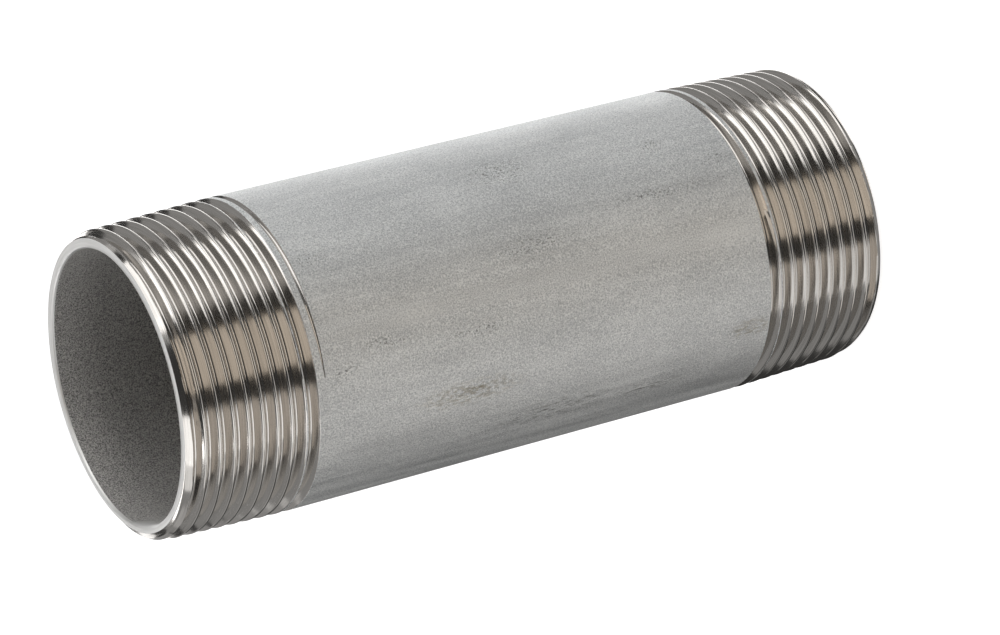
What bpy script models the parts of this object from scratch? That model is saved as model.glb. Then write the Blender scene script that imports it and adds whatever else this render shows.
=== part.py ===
"""Barrel nipple: a short length of welded stainless steel pipe with a taper male thread on each end.

Metres, +Z along the pipe. The nipple stands on its lower end, and the origin is the middle of that
end. It is made as the real one is: a bar is turned to the pipe's outside, bored, countersunk at both
mouths, and a helical groove is cut round each end. The groove is what the thread is.
"""

import math

import bmesh
import bpy
from mathutils import Vector

# Pipe, nominal bore 40 mm (1 1/2 in)
LENGTH = 0.121
PIPE_DIAMETER = 0.0480
WALL = 0.00310
BEAD_WIDTH = 0.0100  # the flat that the rolled weld leaves along the inside of the pipe
BEAD_AZIMUTH = math.radians(185.0)

# Taper male thread: 11 to the inch, 55 degrees, 1 in 16 on diameter
THREAD_PITCH = 0.0254 / 11
FLANK_ANGLE = math.radians(27.5)  # each side of the groove, from square to the axis
TAPER = 1.0 / 32.0  # rise of the radius along the axis
GAUGE_LENGTH = 0.0127
CREST_BELOW_PIPE = 0.00020  # crests under the pipe's surface at the gauge plane
TOP_THREAD_LENGTH = 0.0225  # end face to the last trace of the groove
TOP_THREAD_END_AZIMUTH = math.radians(-108.0)
BOTTOM_THREAD_LENGTH = 0.0221
BOTTOM_THREAD_END_AZIMUTH = math.radians(110.0)
RUN_OUT_ANGLE = math.radians(220.0)  # turn over which the groove climbs out of the pipe

# End faces
CHAMFER_DEPTH = 0.00090  # radial, from the first crest down to the end face
CHAMFER_ANGLE = math.radians(30.0)  # from the axis
COUNTERSINK = 0.0003  # radial, at 45 degrees, round the mouth of the bore

FACETS = 48  # round the pipe, and stations in a turn of the groove
CLEAR = 0.0002  # how far each cutter passes the surface that it cuts
SHARP_ANGLE = math.radians(25.0)  # faces that meet at more than this keep a sharp edge

PIPE_RADIUS = PIPE_DIAMETER / 2
BORE_RADIUS = PIPE_RADIUS - WALL
THREAD_DEPTH = 0.640327 * THREAD_PITCH  # the 55 degree triangle, a sixth cut off at each point
ROOT_FLAT = THREAD_PITCH / 6
CREST_RADIUS_AT_END = PIPE_RADIUS - CREST_BELOW_PIPE - TAPER * GAUGE_LENGTH
FACE_RADIUS = CREST_RADIUS_AT_END - CHAMFER_DEPTH
CHAMFER_LENGTH = CHAMFER_DEPTH / (math.tan(CHAMFER_ANGLE) - TAPER)
CONE_LENGTH = (PIPE_RADIUS - CREST_RADIUS_AT_END) / TAPER


def clear_scene():
    """Remove what the startup file holds."""
    for obj in list(bpy.data.objects):
        bpy.data.objects.remove(obj, do_unlink=True)


def new_collection(name):
    """Add an empty collection to the scene."""
    collection = bpy.data.collections.new(name)
    bpy.context.scene.collection.children.link(collection)
    return collection


def move_to(obj, collection):
    """Put an object in this collection alone."""
    for other in list(obj.users_collection):
        other.objects.unlink(obj)
    collection.objects.link(obj)


def as_cutter(obj, collection):
    """Leave a cutter out of renders and show it as wires."""
    move_to(obj, collection)
    obj.hide_render = True
    obj.display_type = "WIRE"
    return obj


def subtract(obj, cutter):
    """Cut one object out of another."""
    cut = obj.modifiers.new(f"cut {cutter.name}", "BOOLEAN")
    cut.operation = "DIFFERENCE"
    cut.solver = "EXACT"
    cut.object = cutter


def turned_bar(name, collection):
    """Turn a bar to the nipple's outside: pipe surface, tapered ends for the threads, and chamfers."""
    lower_half = [
        (PIPE_RADIUS, CONE_LENGTH),
        (CREST_RADIUS_AT_END + TAPER * CHAMFER_LENGTH, CHAMFER_LENGTH),
        (FACE_RADIUS, 0.0),
        (0.0, 0.0),
    ]
    upper_half = [(radius, LENGTH - height) for radius, height in reversed(lower_half)]
    outline = upper_half + lower_half
    mesh = bpy.data.meshes.new(name)
    mesh.from_pydata(
        [(radius, 0.0, height) for radius, height in outline],
        [(i, i + 1) for i in range(len(outline) - 1)],
        [],
    )
    bar = bpy.data.objects.new(name, mesh)
    collection.objects.link(bar)
    turn = bar.modifiers.new("turn", "SCREW")
    turn.axis = "Z"
    turn.steps = turn.render_steps = FACETS
    turn.use_merge_vertices = True
    turn.merge_threshold = 0.00001
    return bar


def bore_cutter(collection):
    """Round bore with one flat along it, where the inside weld was rolled down."""
    bpy.ops.mesh.primitive_cylinder_add(
        vertices=FACETS,
        radius=BORE_RADIUS,
        depth=LENGTH + 2 * CLEAR,
        location=(0, 0, LENGTH / 2),
    )
    cutter = bpy.context.object
    cutter.name = "bore_cutter"
    as_cutter(cutter, collection)
    flat_distance = math.sqrt(BORE_RADIUS**2 - (BEAD_WIDTH / 2) ** 2)
    block_depth = BORE_RADIUS
    bpy.ops.mesh.primitive_cube_add(size=1)
    block = bpy.context.object
    block.name = "bead_block"
    middle = flat_distance + block_depth / 2
    block.location = (
        middle * math.cos(BEAD_AZIMUTH),
        middle * math.sin(BEAD_AZIMUTH),
        LENGTH / 2,
    )
    block.rotation_euler = (0, 0, BEAD_AZIMUTH)
    block.scale = (block_depth, 2 * BORE_RADIUS, LENGTH + 8 * CLEAR)
    as_cutter(block, collection)
    subtract(cutter, block)
    return cutter


def countersink_cutter(name, height, facing, collection):
    """Shallow 45 degree cone for one mouth of the bore; facing is 1 for the top end, -1 for the bottom."""
    flat_distance = math.sqrt(BORE_RADIUS**2 - (BEAD_WIDTH / 2) ** 2)
    mouth_radius = BORE_RADIUS + COUNTERSINK
    wide_radius = mouth_radius + CLEAR
    narrow_radius = flat_distance - CLEAR
    depth = wide_radius - narrow_radius
    bpy.ops.mesh.primitive_cone_add(
        vertices=FACETS,
        radius1=narrow_radius,
        radius2=wide_radius,
        depth=depth,
        location=(0, 0, height + facing * (CLEAR - depth / 2)),
        rotation=(0 if facing > 0 else math.pi, 0, 0),
    )
    cutter = bpy.context.object
    cutter.name = name
    return as_cutter(cutter, collection)


def groove_section(root_radius, azimuth, height):
    """Corners of the groove's section at one station: a flat root, two flanks, and sides past the crests."""
    flank_height = THREAD_DEPTH + CLEAR / 2
    half_root = ROOT_FLAT / 2
    half_mouth = half_root + flank_height * math.tan(FLANK_ANGLE)
    mouth_radius = root_radius + flank_height
    outer_radius = mouth_radius + 10 * CLEAR
    corners = [
        (root_radius, -half_root),
        (mouth_radius, -half_mouth),
        (outer_radius, -half_mouth),
        (outer_radius, half_mouth),
        (mouth_radius, half_mouth),
        (root_radius, half_root),
    ]
    return [
        Vector((radius * math.cos(azimuth), radius * math.sin(azimuth), height + across))
        for radius, across in corners
    ]


def root_radius_at(height, turn_left):
    """Radius of the groove's root: it follows the taper, then climbs out of the pipe over the last turn."""
    on_taper = CREST_RADIUS_AT_END - THREAD_DEPTH + TAPER * height
    climbing = PIPE_RADIUS - THREAD_DEPTH * turn_left / RUN_OUT_ANGLE
    return max(on_taper, climbing)


def thread_cutter(name, thread_length, end_azimuth, collection):
    """Loft the groove along a right-handed helix that enters at the end face and climbs out at thread_length.

    The section changes all the way, with the taper and the run-out, so it is a loft and not a screw.
    """
    step = 2 * math.pi / FACETS
    height_per_step = THREAD_PITCH / FACETS
    last = math.ceil(end_azimuth / step) + 2
    entry_turn = (thread_length + THREAD_PITCH) / THREAD_PITCH * 2 * math.pi
    first = math.floor((end_azimuth - entry_turn) / step)
    mesh = bmesh.new()
    rings = []
    for station in range(first, last + 1):
        azimuth = station * step
        turn_left = end_azimuth - azimuth
        height = thread_length - turn_left / step * height_per_step
        corners = groove_section(root_radius_at(height, turn_left), azimuth, height)
        rings.append([mesh.verts.new(corner) for corner in corners])
    for ring, following in zip(rings, rings[1:]):
        for i in range(len(ring)):
            j = (i + 1) % len(ring)
            mesh.faces.new((ring[i], ring[j], following[j], following[i]))
    mesh.faces.new(reversed(rings[0]))
    mesh.faces.new(rings[-1])
    bmesh.ops.recalc_face_normals(mesh, faces=mesh.faces)
    data = bpy.data.meshes.new(name)
    mesh.to_mesh(data)
    mesh.free()
    cutter = bpy.data.objects.new(name, data)
    collection.objects.link(cutter)
    return as_cutter(cutter, collection)


def stainless_steel():
    """Pickled stainless steel, mid grey and satin."""
    material = bpy.data.materials.new("pickled_stainless_steel")
    material.use_nodes = True
    shader = material.node_tree.nodes["Principled BSDF"]
    shader.inputs["Base Color"].default_value = (0.46, 0.46, 0.45, 1.0)
    shader.inputs["Metallic"].default_value = 1.0
    shader.inputs["Roughness"].default_value = 0.38
    material.diffuse_color = (0.46, 0.46, 0.45, 1.0)
    return material


def apply_and_shade(obj):
    """Turn the modifiers into the object's own mesh, smooth where it is round and sharp at its edges."""
    evaluated = obj.evaluated_get(bpy.context.evaluated_depsgraph_get())
    mesh = bpy.data.meshes.new_from_object(evaluated)
    mesh.name = obj.name
    obj.modifiers.clear()
    obj.data = mesh
    mesh.shade_smooth()
    mesh.set_sharp_from_angle(angle=SHARP_ANGLE)


def main():
    clear_scene()
    nipple_parts = new_collection("pipe_nipple")
    cutters = new_collection("cutters")
    nipple = turned_bar("nipple", nipple_parts)
    nipple.data.materials.append(stainless_steel())
    subtract(nipple, bore_cutter(cutters))
    subtract(nipple, countersink_cutter("top_countersink", LENGTH, 1, cutters))
    subtract(nipple, countersink_cutter("bottom_countersink", 0.0, -1, cutters))
    bottom_thread = thread_cutter(
        "bottom_thread_cutter", BOTTOM_THREAD_LENGTH, BOTTOM_THREAD_END_AZIMUTH, cutters
    )
    subtract(nipple, bottom_thread)
    # The top thread is a bottom thread turned over about the X axis, which keeps it right-handed.
    top_thread = thread_cutter(
        "top_thread_cutter", TOP_THREAD_LENGTH, -TOP_THREAD_END_AZIMUTH, cutters
    )
    top_thread.rotation_euler = (math.pi, 0, 0)
    top_thread.location = (0, 0, LENGTH)
    subtract(nipple, top_thread)
    apply_and_shade(nipple)


main()
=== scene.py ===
"""Looks of a barrel nipple: welded stainless steel pipe with a taper thread cut on each end.

The nipple is one piece of steel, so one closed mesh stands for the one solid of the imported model. The
mesh is a set of rings round the pipe's axis. Between the end faces and the plain pipe its rows run along
the thread's helix, so that each crest and root is a clean line. The pipe stands on its lower end, and the
camera is rolled so that the upper end is at the picture's left.

Sizes are millimetres and degrees. They are turned to metres and radians where Blender needs them.
"""

import logging
import math
from dataclasses import dataclass, field
from enum import Enum, IntEnum

import bpy
import numpy as np
from mathutils import Matrix, Vector

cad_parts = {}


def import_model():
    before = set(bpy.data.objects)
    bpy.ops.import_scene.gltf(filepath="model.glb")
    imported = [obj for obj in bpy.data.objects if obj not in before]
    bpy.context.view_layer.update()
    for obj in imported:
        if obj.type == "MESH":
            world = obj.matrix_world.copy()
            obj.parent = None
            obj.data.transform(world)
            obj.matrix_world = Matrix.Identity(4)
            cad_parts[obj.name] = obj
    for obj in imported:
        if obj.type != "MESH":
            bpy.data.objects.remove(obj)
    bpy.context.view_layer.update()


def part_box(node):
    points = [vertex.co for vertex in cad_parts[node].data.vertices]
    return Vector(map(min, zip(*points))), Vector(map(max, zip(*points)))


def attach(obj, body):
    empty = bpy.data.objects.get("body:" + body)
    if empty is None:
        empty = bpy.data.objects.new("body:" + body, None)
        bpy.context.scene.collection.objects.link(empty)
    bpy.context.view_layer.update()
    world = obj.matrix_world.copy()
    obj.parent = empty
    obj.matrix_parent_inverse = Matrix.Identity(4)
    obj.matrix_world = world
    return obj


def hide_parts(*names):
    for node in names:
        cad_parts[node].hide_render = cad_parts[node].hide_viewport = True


log = logging.getLogger("nipple")

MM = 0.001
TURN = 2 * math.pi
SENSOR_WIDTH = 36  # of the camera, in real millimetres
CUT_DEPTH = "cut_depth"  # the skin's attribute: millimetres that were turned off the pipe's outside
WIDE_LEVELS = (0.3, 0.7)  # two levels of a noise, between which nearly all of it lies
NARROW_LEVELS = (0.35, 0.65)  # the same, with some of it past each end


class Coat(IntEnum):
    """The surfaces of the nipple, in the order of the mesh's material slots."""

    OUTSIDE = 0
    FACE = 1
    BORE = 2


def srgb(code: str) -> tuple[float, float, float, float]:
    """Turn an sRGB hex colour into Blender's linear colour.

    Args:
        code: Six hex digits, such as "c8c6c1".

    Returns:
        Linear red, green, blue and an alpha of 1.
    """
    shares = [int(code[i : i + 2], 16) / 255 for i in (0, 2, 4)]
    linear = [s / 12.92 if s <= 0.04045 else ((s + 0.055) / 1.055) ** 2.4 for s in shares]
    return (linear[0], linear[1], linear[2], 1.0)


def add_node(tree: bpy.types.NodeTree, kind: str, links: dict | None = None, **settings) -> bpy.types.Node:
    """Add a node with its settings and links.

    Args:
        tree: Node tree of a material or a world.
        kind: Blender's name for the node type.
        links: What goes into each input, by name or number: a socket, a node's first output, or a value.
        settings: Properties of the node itself.

    Returns:
        The new node.
    """
    node = tree.nodes.new(kind)
    for name, value in settings.items():
        setattr(node, name, value)
    for name, value in (links or {}).items():
        socket = node.inputs[name]
        if isinstance(value, bpy.types.Node):
            value = value.outputs[0]
        if isinstance(value, bpy.types.NodeSocket):
            tree.links.new(value, socket)
        else:
            socket.default_value = value
    return node


@dataclass(frozen=True)
class PipeSize:
    """Outside and bore of the pipe."""

    length: float
    radius: float
    wall: float = 3.1
    bead_width: float = 10.0
    bead_azimuth: float = 185.0
    countersink: float = 0.3
    bead_facing: float = 0.5  # cosine of the angle from the flat's middle past which there is no flat

    @property
    def bore_radius(self) -> float:
        """Radius of the round bore."""
        return self.radius - self.wall

    @property
    def mouth_radius(self) -> float:
        """Inner edge of an end face, outside the countersink."""
        return self.bore_radius + self.countersink

    def bore(self, azimuth: np.ndarray) -> np.ndarray:
        """Radius of the bore, which has one flat where the weld's inner bead was rolled down.

        The flat is the line at a fixed distance from the axis, so its radius is that distance over the
        cosine of the angle from its middle. The bore is the smaller of that and the circle.

        Args:
            azimuth: Angles round the axis, in radians.

        Returns:
            Radius at each angle.
        """
        distance = math.sqrt(self.bore_radius**2 - (self.bead_width / 2) ** 2)
        facing = np.cos(azimuth - math.radians(self.bead_azimuth))
        line = distance / np.maximum(facing, self.bead_facing)
        flat = np.where(facing > self.bead_facing, line, self.bore_radius)
        return np.minimum(flat, self.bore_radius)


@dataclass(frozen=True)
class TaperThread:
    """A taper male thread on one end, measured from that end's face.

    The form is a 55 degree triangle with its crest and root rounded to one radius. The groove follows a
    right-handed helix, and over its last part it climbs out of the pipe.
    """

    pipe: PipeSize
    length: float  # end face to the last trace of the groove
    end_azimuth: float  # where that trace is
    crest_below_pipe: float = 0.20  # at the gauge plane
    gauge_length: float = 12.7
    pitch: float = 25.4 / 11
    flank_angle: float = 27.5
    taper: float = 1 / 32
    run_out: float = 220.0
    chamfer_depth: float = 0.90
    chamfer_angle: float = 30.0
    edge_softness: float = 0.05  # width over which the chamfer blends into a flank
    depth_in_pitches: float = 0.640327  # of the standard's 55 degree form
    rounding_in_pitches: float = 0.137329

    @property
    def depth(self) -> float:
        """Crest to root."""
        return self.depth_in_pitches * self.pitch

    @property
    def rounding(self) -> float:
        """Radius of crest and root."""
        return self.rounding_in_pitches * self.pitch

    @property
    def steepness(self) -> float:
        """Rise of a flank over its width."""
        return 1 / math.tan(math.radians(self.flank_angle))

    @property
    def arc_half_width(self) -> float:
        """Half the width of the rounded root."""
        return self.rounding * math.cos(math.radians(self.flank_angle))

    @property
    def arc_height(self) -> float:
        """Height of the rounded root's ends over its middle."""
        return self.rounding * (1 - math.sin(math.radians(self.flank_angle)))

    @property
    def crest_at_end(self) -> float:
        """Crest radius at the end face."""
        return self.pipe.radius - self.crest_below_pipe - self.taper * self.gauge_length

    @property
    def face_radius(self) -> float:
        """Outer edge of the end face."""
        return self.crest_at_end - self.chamfer_depth

    def rise(self, across: np.ndarray) -> np.ndarray:
        """Height of the groove's side over its root: a circular arc, then a straight flank.

        Args:
            across: Distance along the axis from the middle of the root.

        Returns:
            Radial height.
        """
        x = np.abs(across)
        arc = self.rounding - np.sqrt(np.maximum(self.rounding**2 - x**2, 0))
        flank = self.arc_height + (x - self.arc_half_width) * self.steepness
        return np.where(x < self.arc_half_width, arc, flank)

    def width_at(self, height: np.ndarray) -> np.ndarray:
        """Half width of the groove at a height over its root, which is rise() turned round.

        Args:
            height: Radial height, 0 or more.

        Returns:
            Distance along the axis from the middle of the root.
        """
        in_arc = np.sqrt(np.maximum(self.rounding**2 - (self.rounding - height) ** 2, 0))
        on_flank = self.arc_half_width + (height - self.arc_height) / self.steepness
        return np.where(height < self.arc_height, in_arc, on_flank)

    def middle(self, helix: np.ndarray) -> np.ndarray:
        """Height of the root's middle, which rises by one pitch a turn.

        Args:
            helix: Angle along the helix in radians, not wrapped.

        Returns:
            Distance from the end face.
        """
        return self.length - (math.radians(self.end_azimuth) - helix) / TURN * self.pitch

    def crest_line(self, height: np.ndarray) -> np.ndarray:
        """Crest radius that the taper gives at a height."""
        return self.crest_at_end + self.taper * height

    def root_line(self, height: np.ndarray, helix: np.ndarray) -> np.ndarray:
        """Root radius: it follows the taper, then climbs evenly out of the pipe.

        Args:
            height: Distance from the end face.
            helix: Angle along the groove's helix, in radians.

        Returns:
            Radius of the root.
        """
        turn_left = math.radians(self.end_azimuth) - helix
        climbing = self.pipe.radius - self.depth * turn_left / math.radians(self.run_out)
        return np.maximum(self.crest_line(height) - self.depth, climbing)

    def outside(self, azimuth: np.ndarray, height: np.ndarray) -> np.ndarray:
        """Radius of the threaded end.

        It is the lowest of the pipe and of what the tool leaves on its two nearest passes. A pass leaves its
        groove, and a rounded crest one depth over that groove's root.

        Args:
            azimuth: Angle round the axis, in radians.
            height: Distance from the end face.

        Returns:
            Radius at each point, before the chamfer.
        """
        below = np.floor((height - self.middle(azimuth)) / self.pitch)
        radius = np.full(np.broadcast_shapes(np.shape(azimuth), np.shape(height)), self.pipe.radius)
        for turn in (below, below + 1):
            helix = azimuth + TURN * turn
            root = self.root_line(height, helix)
            across = np.abs(height - self.middle(helix))
            from_crest = np.clip(self.pitch / 2 - across, 0, self.pitch / 4)
            crest = root + self.depth - self.rise(from_crest)
            radius = np.minimum(radius, np.minimum(root + self.rise(across), crest))
        return radius

    def chamfered(self, azimuth: np.ndarray, height: np.ndarray) -> np.ndarray:
        """Radius near the end face, where the chamfer's cone cuts the thread.

        The two are joined by a smooth minimum: half their sum less half the root of their difference
        squared and the softness squared.

        Args:
            azimuth: Angle round the axis, in radians.
            height: Distance from the end face.

        Returns:
            Radius at each point.
        """
        cone = self.face_radius + height * math.tan(math.radians(self.chamfer_angle))
        thread = self.outside(azimuth, height)
        softness = np.minimum(height, self.edge_softness)
        return (cone + thread - np.sqrt((cone - thread) ** 2 + softness**2)) / 2


@dataclass
class SkinMesh:
    """Points and triangles of one closed skin, gathered in blocks."""

    pipe: PipeSize
    points: list[np.ndarray] = field(default_factory=list)
    depths: list[np.ndarray] = field(default_factory=list)  # under the pipe's outside
    faces: list[np.ndarray] = field(default_factory=list)
    coats: list[np.ndarray] = field(default_factory=list)
    count: int = 0

    def add_points(self, azimuth: np.ndarray, radius: np.ndarray, height: np.ndarray,
                   turned_over: float | None = None) -> np.ndarray:
        """Add points given in cylinder coordinates.

        Args:
            azimuth: Angles in radians.
            radius: Distances from the axis.
            height: Distances up the axis.
            turned_over: Length of the pipe, to place them turned half round the X axis at its other end.

        Returns:
            The number of each point, in the shape that the arguments have together.
        """
        azimuth, radius, height = np.broadcast_arrays(azimuth, radius, height)
        block = np.stack([radius * np.cos(azimuth), radius * np.sin(azimuth), height], axis=-1)
        if turned_over is not None:
            block = block * (1, -1, -1) + (0, 0, turned_over)
        numbers = self.count + np.arange(radius.size).reshape(radius.shape)
        self.points.append(block.reshape(-1, 3))
        self.depths.append(self.pipe.radius - radius.ravel())
        self.count += radius.size
        return numbers

    def skin(self, rows: np.ndarray, coat: Coat) -> None:
        """Cover a grid of point numbers with triangles, leaving out those that have no area.

        Args:
            rows: Point numbers. Rows go along the profile, and columns round the pipe.
            coat: Material slot of the new triangles.
        """
        a, b, c, d = rows[:-1, :-1], rows[:-1, 1:], rows[1:, 1:], rows[1:, :-1]
        cells = [np.stack([a, b, c], -1), np.stack([a, c, d], -1)]
        triangles = np.concatenate([cell.reshape(-1, 3) for cell in cells])
        whole = (triangles != np.roll(triangles, 1, axis=1)).all(axis=1)
        self.faces.append(triangles[whole])
        self.coats.append(np.full(whole.sum(), int(coat)))

    def make(self, name: str) -> bpy.types.Object:
        """Make the object, without the points that no triangle uses.

        Args:
            name: Name of the object.

        Returns:
            The object, in metres, with its place in its mesh.
        """
        triangles = np.concatenate(self.faces)
        used, renumbered = np.unique(triangles, return_inverse=True)
        points = np.concatenate(self.points)[used] * MM
        mesh = bpy.data.meshes.new(name)
        mesh.from_pydata(points.tolist(), [], renumbered.reshape(-1, 3).tolist())
        mesh.polygons.foreach_set("material_index", np.concatenate(self.coats).astype(np.int32))
        depth = mesh.attributes.new(CUT_DEPTH, "FLOAT", "POINT")
        depth.data.foreach_set("value", np.concatenate(self.depths)[used].astype(np.float32))
        mesh.validate()
        piece = bpy.data.objects.new(name, mesh)
        bpy.context.scene.collection.objects.link(piece)
        return piece


@dataclass
class ThreadedEnd:
    """One end of the nipple: countersink, end face, chamfer and thread, up to the plain pipe."""

    pipe: PipeSize
    thread: TaperThread
    columns: int
    turned_over: bool = False
    face_rows: int = 3
    chamfer_rows: int = 24
    chamfer_zone: float = 2.0  # height up to which the rows are level rings
    height: float = 23.6  # where the plain pipe begins
    least_step: float = 0.03  # rows never lie closer than this
    least_arc: float = 0.09  # the rounded root's rows never take less than this on each side
    snap: float = 0.0075  # rows as near as this to a level ring become that ring
    crest_steps: int = 3

    @property
    def azimuth(self) -> np.ndarray:
        """Angle of each column."""
        return np.arange(self.columns) * TURN / self.columns

    def build(self, mesh: SkinMesh) -> tuple[np.ndarray, np.ndarray]:
        """Add this end to the skin.

        Args:
            mesh: The skin.

        Returns:
            Point numbers of the ring in the bore and of the ring on the pipe, in the pipe's own order.
        """
        over = self.pipe.length if self.turned_over else None
        azimuth = self.azimuth
        bore = self.pipe.bore(azimuth)
        bore_ring = mesh.add_points(azimuth, bore, self.pipe.mouth_radius - bore, over)
        edge = self.thread.chamfered(azimuth, np.zeros(1))
        share = np.linspace(0, 1, self.face_rows)[:, None]
        face = mesh.add_points(azimuth, self.pipe.mouth_radius * (1 - share) + edge * share, 0.0, over)
        level = np.linspace(0, self.chamfer_zone, self.chamfer_rows + 1)[1:, None]
        chamfer = mesh.add_points(azimuth, self.thread.chamfered(azimuth, level), level, over)
        pipe_ring = mesh.add_points(azimuth, self.pipe.radius, self.height, over)
        mesh.skin(closed(np.stack([bore_ring, face[0]])), Coat.FACE)
        mesh.skin(closed(face), Coat.FACE)
        mesh.skin(closed(np.concatenate([face[-1:], chamfer])), Coat.OUTSIDE)
        mesh.skin(self.thread_rows(mesh, chamfer[-1], pipe_ring, over), Coat.OUTSIDE)
        if self.turned_over:
            backwards = -np.arange(self.columns) % self.columns
            return bore_ring[backwards], pipe_ring[backwards]
        return bore_ring, pipe_ring

    def row_heights(self) -> np.ndarray:
        """Heights of the rows along the helix, in each column.

        Each half of a groove has rows at the root's middle, along the root's arc by equal angles, at the
        top of the flank, and by equal steps on to the middle of the crest. Where the groove climbs out of
        the pipe, the top of the flank moves in with it.

        Returns:
            Heights, with a turn's rows one after another and the columns across.
        """
        thread = self.thread
        start = float(thread.middle(np.zeros(1))[0])
        first = math.floor((self.chamfer_zone - start) / thread.pitch) - 1
        last = math.ceil((self.height - start) / thread.pitch) + 1
        helix = self.azimuth + TURN * np.arange(first, last + 1)[:, None]
        middle = thread.middle(helix)
        room = np.maximum(self.pipe.radius - thread.root_line(middle, helix), 0)
        arc = np.minimum(thread.width_at(room), thread.arc_half_width)
        arc = np.maximum(arc, self.least_arc)
        top = thread.width_at(np.minimum(room, thread.depth - thread.arc_height))
        top = np.maximum(top, arc + self.least_step)
        angle = np.arcsin(np.minimum(arc / thread.rounding, 1))
        steps = np.arange(1, self.crest_steps + 1)[:, None] / self.crest_steps
        on_arc = thread.rounding * np.sin(angle[:, None] * steps)
        on_crest = top[:, None] + (thread.pitch / 2 - top[:, None]) * steps
        half = np.concatenate([on_arc, top[:, None], on_crest], axis=1)
        foot = middle[:-1, None]
        rising = foot + np.concatenate([np.zeros_like(foot), half[:-1]], axis=1)
        falling = middle[1:, None] - half[1:, -2::-1]
        rows = np.concatenate([rising, falling], axis=1)
        return rows.reshape(-1, self.columns)

    def thread_rows(self, mesh: SkinMesh, low: np.ndarray, high: np.ndarray,
                    over: float | None) -> np.ndarray:
        """Grid of point numbers for the thread, between two level rings.

        A row that has not yet risen over the lower ring, or has passed the upper one, is drawn into that
        ring. A row that comes round to the first column goes on there as the row one turn up.

        Args:
            mesh: The skin, which gets the points.
            low: Ring at the top of the chamfer's zone.
            high: Ring where the plain pipe begins.
            over: Length of the pipe for an end that is turned over, or None.

        Returns:
            Point numbers, rows by columns and one column more.
        """
        heights = self.row_heights()
        rows_per_turn = 4 * self.crest_steps + 2
        radius = self.thread.outside(self.azimuth, heights)
        numbers = mesh.add_points(self.azimuth, radius, heights, over)
        numbers_above = np.append(numbers[rows_per_turn:, 0], np.full(rows_per_turn, high[0]))
        heights_above = np.append(heights[rows_per_turn:, 0], np.full(rows_per_turn, self.height))
        numbers = np.hstack([numbers, numbers_above[:, None]])
        heights = np.hstack([heights, heights_above[:, None]])
        in_low = heights < self.chamfer_zone + self.snap
        in_high = heights > self.height - self.snap
        numbers = np.where(in_low, np.append(low, low[0]), numbers)
        return np.where(in_high, np.append(high, high[0]), numbers)


def closed(rows: np.ndarray) -> np.ndarray:
    """Repeat the first column of a grid after its last, so that each row is a whole ring."""
    return np.hstack([rows, rows[:, :1]])


@dataclass(frozen=True)
class Surface:
    """What one kind of steel surface looks like: sockets for its colour, roughness and relief."""

    colour: bpy.types.NodeSocket
    roughness: bpy.types.NodeSocket
    relief: bpy.types.NodeSocket  # millimetres


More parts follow.
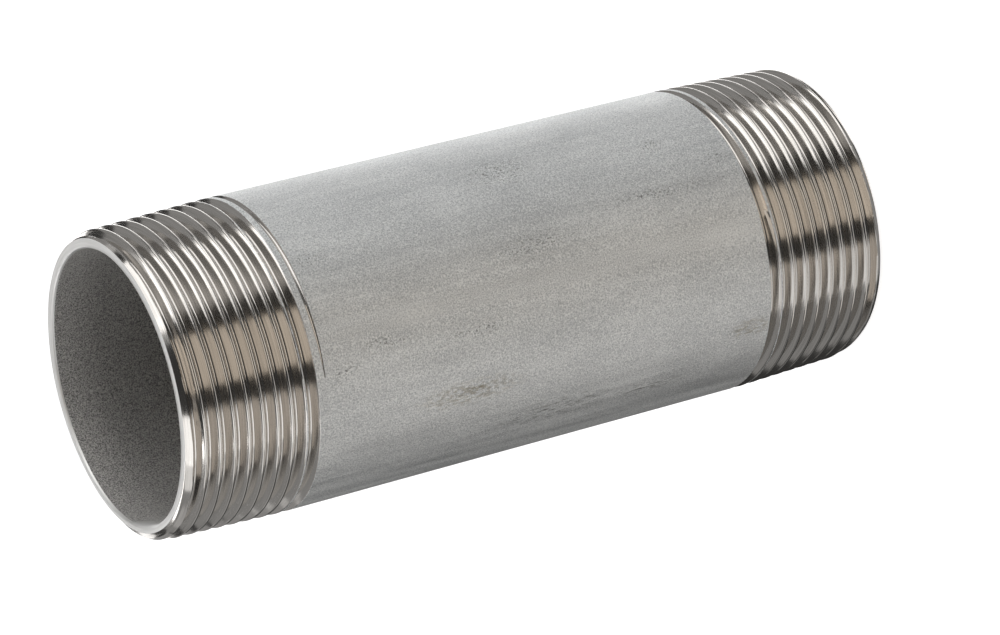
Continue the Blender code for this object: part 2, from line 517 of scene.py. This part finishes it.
class Ground:
    """Node tree of one steel, and the coordinates in millimetres that its patterns are laid out on."""

    def __init__(self, name: str) -> None:
        """Make the material.

        Args:
            name: Name of the material.
        """
        self.material = bpy.data.materials.new(name)
        self.material.use_nodes = True
        self.tree = self.material.node_tree
        metres = add_node(self.tree, "ShaderNodeTexCoord").outputs["Object"]
        self.place = add_node(self.tree, "ShaderNodeVectorMath", {0: metres, "Scale": 1 / MM},
                              operation="SCALE")
        self.split = add_node(self.tree, "ShaderNodeSeparateXYZ", {0: self.place})
        flat = self.stretched((1, 1, 0))
        length = add_node(self.tree, "ShaderNodeVectorMath", {0: flat}, operation="LENGTH")
        self.from_axis = length.outputs["Value"]

    def stretched(self, scale: tuple[float, float, float]) -> bpy.types.Node:
        """Multiply the place by a scale of its own along each axis.

        Args:
            scale: What X, Y and Z are multiplied by.

        Returns:
            The scaled place.
        """
        return add_node(self.tree, "ShaderNodeVectorMath", {0: self.place, 1: scale}, operation="MULTIPLY")

    def times(self, pattern: bpy.types.Node | bpy.types.NodeSocket, factor: float) -> bpy.types.NodeSocket:
        """Multiply a pattern by a number.

        Args:
            pattern: Node or socket.
            factor: The number.

        Returns:
            The product.
        """
        return add_node(self.tree, "ShaderNodeMath", {0: pattern, 1: factor}, operation="MULTIPLY").outputs[0]

    def grain(self, size: float, along: float = 1.0, detail: float = 2.0) -> bpy.types.Node:
        """Add an even grain.

        Args:
            size: Width of a grain.
            along: How many times longer a grain is along the pipe.
            detail: How many finer octaves it has.

        Returns:
            Noise from 0 to 1.
        """
        place = self.stretched((1 / size, 1 / size, 1 / size / along))
        return add_node(self.tree, "ShaderNodeTexNoise", {"Vector": place, "Scale": 1.0, "Detail": detail})

    def turning(self, width: float, length: float, detail: float = 2.0) -> bpy.types.Node:
        """Add lines round the pipe, as a turning tool leaves them.

        Args:
            width: Width of a line.
            length: Length over which a line fades out.
            detail: How many finer octaves it has.

        Returns:
            Noise from 0 to 1.
        """
        place = self.stretched((1 / length, 1 / length, 1 / width))
        outwards = self.times(self.from_axis, 1 / width)
        links = {"Vector": place, "W": outwards, "Scale": 1.0, "Detail": detail}
        return add_node(self.tree, "ShaderNodeTexNoise", links, noise_dimensions="4D")

    def between(self, share: bpy.types.Node, low: float, high: float, start: float = 0.0,
                end: float = 1.0) -> bpy.types.Node:
        """Turn a share into a value, held at both ends.

        Args:
            share: Pattern.
            low: The pattern's value that gives start.
            high: The pattern's value that gives end.
            start: First value.
            end: Last value.

        Returns:
            The value.
        """
        return add_node(self.tree, "ShaderNodeMapRange", {"Value": share, 1: low, 2: high, 3: start, 4: end})

    def mixed(self, share: bpy.types.Node, first: object, second: object) -> bpy.types.NodeSocket:
        """Mix two colours.

        Args:
            share: Share of the second.
            first: Colour or socket.
            second: Colour or socket.

        Returns:
            The mixed colour.
        """
        mix = add_node(self.tree, "ShaderNodeMix", {0: share, 6: first, 7: second}, data_type="RGBA")
        return mix.outputs[2]

    def finish(self, surface: Surface) -> bpy.types.Material:
        """Put a surface on the material's shader, which is bare metal.

        Args:
            surface: Colour, roughness and relief.

        Returns:
            The material.
        """
        shader = self.tree.nodes["Principled BSDF"]
        shader.inputs["Metallic"].default_value = 1.0
        bump = add_node(self.tree, "ShaderNodeBump",
                        {"Height": surface.relief, "Distance": MM, "Strength": 1.0})
        self.tree.links.new(surface.colour, shader.inputs["Base Color"])
        self.tree.links.new(surface.roughness, shader.inputs["Roughness"])
        self.tree.links.new(bump.outputs[0], shader.inputs["Normal"])
        return self.material


@dataclass(frozen=True)
class MarkLook:
    """How one kind of mark on the pipe's skin is coloured and broken up."""

    tint: str | None  # what the skin's colour is multiplied by, or None where the skin is made pale: rubbed pale in scuffs, and a painted reflection on one mark
    grain_size: float
    stretch: float  # how many times longer its grains are along the pipe
    begins: float  # the grain's level where a mark begins
    full: float  # and where it is full


class MarkKind(Enum):
    """Kinds of mark on the pipe's skin."""

    PITS = MarkLook("858481", 0.26, 1.3, 0.54, 0.68)
    STREAKS = MarkLook("8a8986", 0.34, 6.0, 0.50, 0.68)
    STAIN = MarkLook("a89d86", 0.45, 2.2, 0.42, 0.70)
    # Pale patches: scuffs rubbed into the skin, and one painted reflection where a dent catches the light.
    SCUFF = MarkLook(None, 0.30, 1.5, 0.40, 0.70)


@dataclass(frozen=True)
class Mark:
    """One mark on the skin: an ellipse laid on the pipe."""

    kind: MarkKind
    height: float  # of its middle over the lower end
    azimuth: float  # of its middle
    half_length: float
    half_turn: float  # half its width, in degrees


@dataclass(frozen=True)
class PipeSkin:
    """Welded stainless pipe as delivered, annealed and pickled.

    The acid leaves a matt grey, with a grain of etched pits, and long faint streaks where the strip was
    rolled. Handling has left dark specks and scuffs. One pale patch is a painted reflection, where a small
    dent catches the light.
    """

    dark: str = "c7c9ca"
    pale: str = "fdfefd"
    roughness: float = 0.60
    etched_grain: float = 0.22  # the real one is about 0.1, too fine for the picture
    grain_relief: float = 0.03
    grain_share: float = 4.5  # how much more the grain counts in the colour than streaks or clouds
    shade_reach: float = 0.9  # how far the sum of all three goes each way from its middle
    streak_width: float = 1.6
    streak_stretch: float = 14.0
    streak_roughness: float = 0.05  # how much smoother or rougher the streaks are
    cloud_size: float = 7.0
    cloud_stretch: float = 2.0
    mark_edge: float = 1.2  # in half sizes from a mark's middle, where it has faded out
    mark_core: float = 0.2  # and where it begins to fade
    marks: tuple[Mark, ...] = (
        Mark(MarkKind.PITS, 60.0, -44.0, 6.0, 9.0),
        Mark(MarkKind.PITS, 34.0, -50.0, 2.5, 3.0),
        Mark(MarkKind.PITS, 60.0, -78.0, 8.0, 5.0),
        Mark(MarkKind.PITS, 36.0, -70.0, 13.0, 2.6),
        Mark(MarkKind.PITS, 25.0, -62.0, 2.6, 2.6),
        Mark(MarkKind.PITS, 95.5, -62.5, 2.8, 3.2),
        Mark(MarkKind.PITS, 95.5, -104.0, 3.0, 3.0),
        Mark(MarkKind.PITS, 72.0, -102.0, 6.0, 2.4),
        Mark(MarkKind.PITS, 88.0, -98.0, 5.0, 3.0),
        Mark(MarkKind.STREAKS, 59.0, -143.5, 10.0, 5.5),
        Mark(MarkKind.STREAKS, 42.0, -146.0, 7.0, 3.0),
        Mark(MarkKind.STAIN, 74.5, -124.5, 8.5, 5.0),
        Mark(MarkKind.STAIN, 25.0, -129.0, 3.6, 4.0),
        Mark(MarkKind.SCUFF, 82.5, -91.0, 5.0, 4.0),
        Mark(MarkKind.SCUFF, 27.0, -92.0, 5.5, 6.0),
        # Not a scuff: a pale patch painted where a small dent reflects the light, a painted reflection.
        Mark(MarkKind.SCUFF, 27.0, -22.0, 5.0, 9.0),
    )

    def marked(self, ground: Ground, azimuth: bpy.types.NodeSocket, kind: MarkKind) -> bpy.types.Node:
        """Lay out the marks of one kind.

        Each is full in its middle and fades towards its edge, by the distance from its middle over its
        half sizes. Where marks overlap, the stronger one counts. The grain then breaks them up.

        Args:
            ground: The material's coordinates.
            azimuth: Degrees round the pipe.
            kind: The kind of mark.

        Returns:
            How strong the mark is, 0 to 1.
        """
        look = kind.value
        flat = add_node(ground.tree, "ShaderNodeCombineXYZ", {0: azimuth, 1: ground.split.outputs["Z"]})
        strongest = None
        for mark in (mark for mark in self.marks if mark.kind is kind):
            shares = (1 / mark.half_turn, 1 / mark.half_length, 0)
            start = (-mark.azimuth / mark.half_turn, -mark.height / mark.half_length, 0)
            away = add_node(ground.tree, "ShaderNodeVectorMath", {0: flat, 1: shares, 2: start},
                            operation="MULTIPLY_ADD")
            away = add_node(ground.tree, "ShaderNodeVectorMath", {0: away}, operation="LENGTH")
            strength = ground.between(away.outputs["Value"], self.mark_edge, self.mark_core)
            if strongest is not None:
                strength = add_node(ground.tree, "ShaderNodeMath", {0: strongest, 1: strength},
                                    operation="MAXIMUM")
            strongest = strength
        grain = ground.grain(look.grain_size, look.stretch, detail=3.0)
        grain = ground.between(grain, look.begins, look.full)
        return add_node(ground.tree, "ShaderNodeMath", {0: strongest, 1: grain}, operation="MULTIPLY")

    def surface(self, ground: Ground) -> Surface:
        """Build the skin.

        Args:
            ground: The material's coordinates.

        Returns:
            Its colour, roughness and relief.
        """
        tree = ground.tree
        grain = ground.grain(self.etched_grain, detail=1.0)
        streaks = ground.grain(self.streak_width, self.streak_stretch)
        clouds = ground.grain(self.cloud_size, self.cloud_stretch)
        shade = add_node(tree, "ShaderNodeMath", {0: streaks, 1: clouds}, operation="ADD")
        shade = add_node(tree, "ShaderNodeMath", {0: grain, 1: self.grain_share, 2: shade},
                         operation="MULTIPLY_ADD")
        middle = 1 + self.grain_share / 2
        share = ground.between(shade, middle - self.shade_reach, middle + self.shade_reach)
        colour = ground.mixed(share, srgb(self.dark), srgb(self.pale))
        turn = add_node(tree, "ShaderNodeMath", {0: ground.split.outputs["Y"], 1: ground.split.outputs["X"]},
                        operation="ARCTAN2")
        azimuth = ground.times(turn, math.degrees(1))
        for kind in MarkKind:
            # A kind with no tint makes the skin pale: scuffs, and the painted reflection of a dent.
            marked_colour = srgb(self.pale)
            if kind.value.tint:
                links = {0: 1.0, 6: colour, 7: srgb(kind.value.tint)}
                tinted = add_node(tree, "ShaderNodeMix", links, data_type="RGBA", blend_type="MULTIPLY")
                marked_colour = tinted.outputs[2]
            colour = ground.mixed(self.marked(ground, azimuth, kind), colour, marked_colour)
        smoothest = self.roughness - self.streak_roughness
        roughest = self.roughness + self.streak_roughness
        roughness = ground.between(streaks, *WIDE_LEVELS, smoothest, roughest)
        return Surface(colour, roughness.outputs[0], ground.times(grain, self.grain_relief))


@dataclass(frozen=True)
class TurnedMetal:
    """Stainless steel fresh from the threading tool.

    It is bright and slightly warm, and fine lines run round it where the tool's edge dragged.
    """

    colour: str = "dedad5"
    dark: str = "cfcbc6"
    roughness: float = 0.10
    rough_lines: float = 0.10  # how much rougher the worst lines are
    rough_levels: tuple[float, float] = (0.4, 0.75)  # of the lines' noise, where they get rougher
    line_width: float = 0.16  # the real feed lines are about 0.05, too fine for the picture
    line_length: float = 9.0
    line_relief: float = 0.004

    def surface(self, ground: Ground) -> Surface:
        """Build the turned metal.

        Args:
            ground: The material's coordinates.

        Returns:
            Its colour, roughness and relief.
        """
        lines = ground.turning(self.line_width, self.line_length)
        colour = ground.mixed(ground.between(lines, *NARROW_LEVELS), srgb(self.colour), srgb(self.dark))
        rough = ground.between(lines, *self.rough_levels, self.roughness, self.roughness + self.rough_lines)
        return Surface(colour, rough.outputs[0], ground.times(lines, self.line_relief))


@dataclass(frozen=True)
class OutsideSteel:
    """The nipple's outside: pipe skin, and turned metal wherever the tool went under it.

    Where the tool only just touched the pipe, on the last crests, it left patches of the skin.
    """

    name: str = "pickled_pipe_with_turned_threads"
    skin: PipeSkin = PipeSkin()
    turned: TurnedMetal = TurnedMetal()
    touch: float = 0.015  # depth of cut at which the skin has just gone
    unevenness: float = 0.03  # of the pipe's surface, which leaves the patches
    patch_size: float = 1.2
    patch_stretch: float = 2.0
    patch_levels: tuple[float, float] = (0.4, 0.7)  # of the noise, from no patch to a full one

    def material(self) -> bpy.types.Material:
        """Make the material.

        Returns:
            The material.
        """
        ground = Ground(self.name)
        skin = self.skin.surface(ground)
        turned = self.turned.surface(ground)
        depth = add_node(ground.tree, "ShaderNodeAttribute", attribute_name=CUT_DEPTH).outputs["Fac"]
        patches = ground.grain(self.patch_size, self.patch_stretch, detail=3.0)
        uneven = ground.between(patches, *self.patch_levels, 0.0, self.unevenness)
        left = add_node(ground.tree, "ShaderNodeMath", {0: depth, 1: uneven}, operation="SUBTRACT")
        cut = ground.between(left, 0.0, self.touch)
        roughness = add_node(ground.tree, "ShaderNodeMix", {0: cut, 2: skin.roughness, 3: turned.roughness})
        relief = add_node(ground.tree, "ShaderNodeMix", {0: cut, 2: skin.relief, 3: turned.relief})
        colour = ground.mixed(cut, skin.colour, turned.colour)
        return ground.finish(Surface(colour, roughness.outputs[0], relief.outputs[0]))


@dataclass(frozen=True)
class FacedSteel:
    """The end faces, faced off square in the lathe: bright, but with a coarser feed than the threads."""

    name: str = "faced_steel"
    colour: str = "ebeae8"
    dark: str = "e2e1df"
    roughness: float = 0.41
    rough_lines: float = 0.08
    line_width: float = 0.22
    line_length: float = 6.0
    line_relief: float = 0.003

    def material(self) -> bpy.types.Material:
        """Make the material.

        Returns:
            The material.
        """
        ground = Ground(self.name)
        lines = ground.turning(self.line_width, self.line_length)
        colour = ground.mixed(ground.between(lines, *NARROW_LEVELS), srgb(self.colour), srgb(self.dark))
        rough = ground.between(lines, *WIDE_LEVELS, self.roughness, self.roughness + self.rough_lines)
        return ground.finish(Surface(colour, rough.outputs[0], ground.times(lines, self.line_relief)))


@dataclass(frozen=True)
class BlastedBore:
    """The inside of the pipe, bead blasted to an even matt grain that sparkles faintly."""

    name: str = "blasted_bore"
    colour: str = "d6d4d1"
    dark: str = "929190"
    roughness: float = 0.86
    rough_grain: float = 0.06  # how much smoother or rougher the grains are
    grain_size: float = 0.20  # the real one is about 0.1, too fine for the picture
    grain_relief: float = 0.06
    grain_levels: tuple[float, float] = (0.3, 0.65)  # of the noise, from the dark colour to the pale one

    def material(self) -> bpy.types.Material:
        """Make the material.

        Returns:
            The material.
        """
        ground = Ground(self.name)
        grain = ground.grain(self.grain_size, detail=1.0)
        share = ground.between(grain, *self.grain_levels)
        colour = ground.mixed(share, srgb(self.dark), srgb(self.colour))
        roughest = self.roughness + self.rough_grain
        smoothest = self.roughness - self.rough_grain
        rough = ground.between(grain, *WIDE_LEVELS, roughest, smoothest)
        return ground.finish(Surface(colour, rough.outputs[0], ground.times(grain, self.grain_relief)))


@dataclass
class Nipple:
    """The whole nipple, as one closed skin with its finishes."""

    pipe: PipeSize
    columns: int = 240
    barrel_rows: int = 16
    sharp_angle: float = 50.0

    def skin(self) -> SkinMesh:
        """Gather the skin: the two ends, the barrel between them, and the bore.

        The rings of the barrel and of the bore lie at equal steps between those of the ends.

        Returns:
            The closed skin.
        """
        mesh = SkinMesh(self.pipe)
        top_thread = TaperThread(self.pipe, length=22.5, end_azimuth=108.0)
        bottom_thread = TaperThread(self.pipe, length=22.1, end_azimuth=110.0)
        top = ThreadedEnd(self.pipe, top_thread, self.columns, turned_over=True)
        bottom = ThreadedEnd(self.pipe, bottom_thread, self.columns)
        bottom_bore, bottom_ring = bottom.build(mesh)
        top_bore, top_ring = top.build(mesh)
        share = np.linspace(0, 1, self.barrel_rows + 1)[1:-1, None]
        azimuth = bottom.azimuth
        height = bottom.height + (self.pipe.length - bottom.height - top.height) * share
        barrel = mesh.add_points(azimuth, self.pipe.radius, height)
        mesh.skin(closed(np.concatenate([bottom_ring[None], barrel, top_ring[None]])), Coat.OUTSIDE)
        radius = self.pipe.bore(azimuth)
        depth = self.pipe.mouth_radius - radius
        height = (self.pipe.length - depth) * (1 - share) + depth * share
        bore = mesh.add_points(azimuth, radius, height)
        mesh.skin(closed(np.concatenate([top_bore[None], bore, bottom_bore[None]])), Coat.BORE)
        return mesh

    def build(self) -> bpy.types.Object:
        """Build the skin and dress it.

        Returns:
            The finished piece.
        """
        piece = self.skin().make("steel_nipple")
        piece.data.shade_smooth()
        piece.data.set_sharp_from_angle(angle=math.radians(self.sharp_angle))
        for steel in (OutsideSteel(), FacedSteel(), BlastedBore()):
            piece.data.materials.append(steel.material())
        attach(piece, "root")
        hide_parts("nipple")
        log.info("%s: %d triangles", piece.name, len(piece.data.polygons))
        return piece


@dataclass(frozen=True)
class Softbox:
    """A rectangular studio light that faces the nipple.

    Most hang so far off that only their direction counts. The cards hang close.
    """

    name: str
    azimuth: float  # of its middle, round the pipe's axis
    elevation: float  # of its middle, over the floor
    width: float  # as the nipple sees it, in degrees
    height: float
    turn: float  # in its own plane
    brightness: float  # of its front, where 1 is white in the picture
    colour: str = "ffffff"
    distance: float = 4000.0

    def add(self, aim: Vector) -> None:
        """Hang the light and turn it to the nipple.

        Its power is its front's brightness times its area times pi.

        Args:
            aim: What it faces, in metres.
        """
        azimuth, elevation = math.radians(self.azimuth), math.radians(self.elevation)
        towards = Vector((math.cos(azimuth), math.sin(azimuth), math.tan(elevation))).normalized()
        across = Vector((-math.sin(azimuth), math.cos(azimuth), 0))
        axes = Matrix((across, towards.cross(across), towards)).transposed()
        axes = axes @ Matrix.Rotation(math.radians(self.turn), 3, "Z")
        data = bpy.data.lights.new(self.name, "AREA")
        data.shape = "RECTANGLE"
        distance = self.distance * MM
        data.size = 2 * distance * math.tan(math.radians(self.width / 2))
        data.size_y = 2 * distance * math.tan(math.radians(self.height / 2))
        data.energy = self.brightness * math.pi * data.size * data.size_y
        data.color = srgb(self.colour)[:3]
        light = bpy.data.objects.new(self.name, data)
        light.matrix_world = Matrix.Translation(aim + towards * distance) @ axes.to_4x4()
        light.visible_camera = False
        bpy.context.scene.collection.objects.link(light)


@dataclass(frozen=True)
class Studio:
    """Light table, softboxes and camera.

    The nipple stands on a white table that is lit from below, so some of the lights are under it, and the
    table keeps no light from the nipple.
    """

    floor_size: float = 12000.0
    floor_colour: str = "f4f4f4"
    floor_roughness: float = 0.9
    floor_glow: float = 0.75
    room: str = "383838"
    lens: float = 164.40
    camera_place: tuple[float, float, float] = (0.0, -620.39, 377.29)
    forward: tuple[float, float, float] = (-0.00596, 0.88831, -0.4592)  # the way that the camera looks
    right: tuple[float, float, float] = (-0.24834, -0.44614, -0.85982)  # what is to the right in the picture
    softboxes: tuple[Softbox, ...] = (
        Softbox("key_left", -22.5, 21.5, 55.5, 46.8, 9.2, 1.4),
        Softbox("key_low", -12.0, -12.0, 62.0, 26.0, 0.0, 0.18),
        Softbox("side_left", 18.0, 7.6, 28.0, 12.0, 2.0, 0.2),
        Softbox("overhead_left", -1.4, 60.0, 45.4, 25.7, 8.0, 1.35),
        Softbox("overhead_back_left", 34.0, 60.0, 30.0, 30.0, 0.0, 0.6),
        Softbox("overhead_back", 90.0, 60.0, 24.0, 20.0, 0.0, 0.8),
        Softbox("overhead_front", -95.0, 70.0, 24.0, 38.0, 0.0, 0.65, "fff5e8"),
        Softbox("overhead_front_left", -56.0, 38.0, 18.0, 26.0, 0.0, 0.3),
        Softbox("front", -87.0, 0.0, 30.0, 30.0, 0.0, 0.2, "fff4e4"),
        Softbox("table_front", -86.0, -22.0, 38.0, 22.0, 0.0, 0.78, "fff5e8"),
        Softbox("table_front_low", -86.0, -38.0, 38.0, 14.0, 0.0, 0.85, "fff5e8"),
        Softbox("table_left", -12.5, -28.0, 69.0, 24.0, 0.0, 0.4),
        Softbox("fill_right", -144.0, 20.0, 35.0, 53.0, 3.0, 0.7),
        Softbox("side_right", 170.0, 2.0, 66.0, 24.0, 0.0, 0.18),
        Softbox("card_right", 164.0, 40.0, 60.0, 60.0, 0.0, 0.22, distance=150.0),
        Softbox("card_mouth_right", -152.0, 42.0, 40.0, 30.0, 0.0, 0.62, distance=150.0),
        Softbox("card_under_mouth", 108.0, 39.0, 54.0, 28.0, 0.0, 0.25, distance=77.0),
        Softbox("table_right", -150.0, -25.0, 50.0, 26.0, 0.0, 0.62, "fff8f0"),
        Softbox("table_right_low", -150.0, -50.0, 50.0, 18.0, 0.0, 0.8),
        Softbox("strip_back_right", 129.0, 49.0, 12.0, 42.0, -30.0, 2.5),
        Softbox("strip_back_right_low", 106.0, 8.0, 7.0, 34.0, 0.0, 1.2),
        Softbox("back", 90.0, 28.0, 26.0, 22.0, 0.0, 1.1),
        Softbox("back_left", 40.0, 33.0, 38.0, 22.0, 0.0, 0.24),
        Softbox("back_left_low", 40.0, 0.0, 38.0, 44.0, 0.0, 0.24),
        Softbox("spot_back", 75.0, 8.0, 14.0, 14.0, -42.0, 2.5),
        Softbox("table_back", 72.0, -28.0, 34.0, 24.0, 0.0, 1.9),
        Softbox("table_back_left", 40.0, -28.0, 36.0, 24.0, 0.0, 0.9),
        Softbox("table_under", -95.0, -78.0, 110.0, 60.0, 4.0, 0.25),
    )

    def add_floor(self) -> None:
        """Lay a plain pale floor under the lower end."""
        half = self.floor_size / 2 * MM
        mesh = bpy.data.meshes.new("floor")
        mesh.from_pydata([(-half, -half, 0), (half, -half, 0), (half, half, 0), (-half, half, 0)], [],
                         [(0, 1, 2, 3)])
        floor = bpy.data.objects.new("floor", mesh)
        bpy.context.scene.collection.objects.link(floor)
        material = bpy.data.materials.new("lit_white_floor")
        material.use_nodes = True
        material.cycles.emission_sampling = "NONE"
        shader = material.node_tree.nodes["Principled BSDF"]
        shader.inputs["Base Color"].default_value = srgb(self.floor_colour)
        shader.inputs["Roughness"].default_value = self.floor_roughness
        shader.inputs["Emission Color"].default_value = srgb("ffffff")
        shader.inputs["Emission Strength"].default_value = self.floor_glow
        mesh.materials.append(material)
        floor.visible_glossy = False
        floor.visible_shadow = False

    def add_camera(self) -> None:
        """Set the camera where the photographer's was, rolled so that the pipe lies across the picture."""
        data = bpy.data.cameras.new("camera")
        data.lens = self.lens
        data.sensor_width = SENSOR_WIDTH
        camera = bpy.data.objects.new("camera", data)
        bpy.context.scene.collection.objects.link(camera)
        forward = Vector(self.forward).normalized()
        right = Vector(self.right)
        right = (right - right.dot(forward) * forward).normalized()
        up = right.cross(forward)
        turn = Matrix((right, up, -forward)).transposed().to_4x4()
        camera.matrix_world = Matrix.Translation(Vector(self.camera_place) * MM) @ turn
        bpy.context.scene.camera = camera

    def add_lights(self, aim: Vector) -> None:
        """Hang the softboxes in a dim room.

        Args:
            aim: Middle of the nipple, in metres.
        """
        world = bpy.data.worlds.new("studio")
        bpy.context.scene.world = world
        world.use_nodes = True
        world.node_tree.nodes["Background"].inputs["Color"].default_value = srgb(self.room)
        for softbox in self.softboxes:
            softbox.add(aim)


def main() -> None:
    """Build the nipple and its studio."""
    logging.basicConfig(level=logging.INFO, format="%(name)s: %(message)s")
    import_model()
    low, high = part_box("nipple")
    pipe = PipeSize(length=(high.z - low.z) / MM, radius=(high.x - low.x) / 2 / MM)
    log.info("pipe %.2f mm long, radius %.3f mm", pipe.length, pipe.radius)
    Nipple(pipe).build()
    studio = Studio()
    studio.add_floor()
    studio.add_lights((low + high) / 2)
    studio.add_camera()
    bpy.context.scene.view_settings.view_transform = "Standard"


if __name__ == "__main__":
    main()
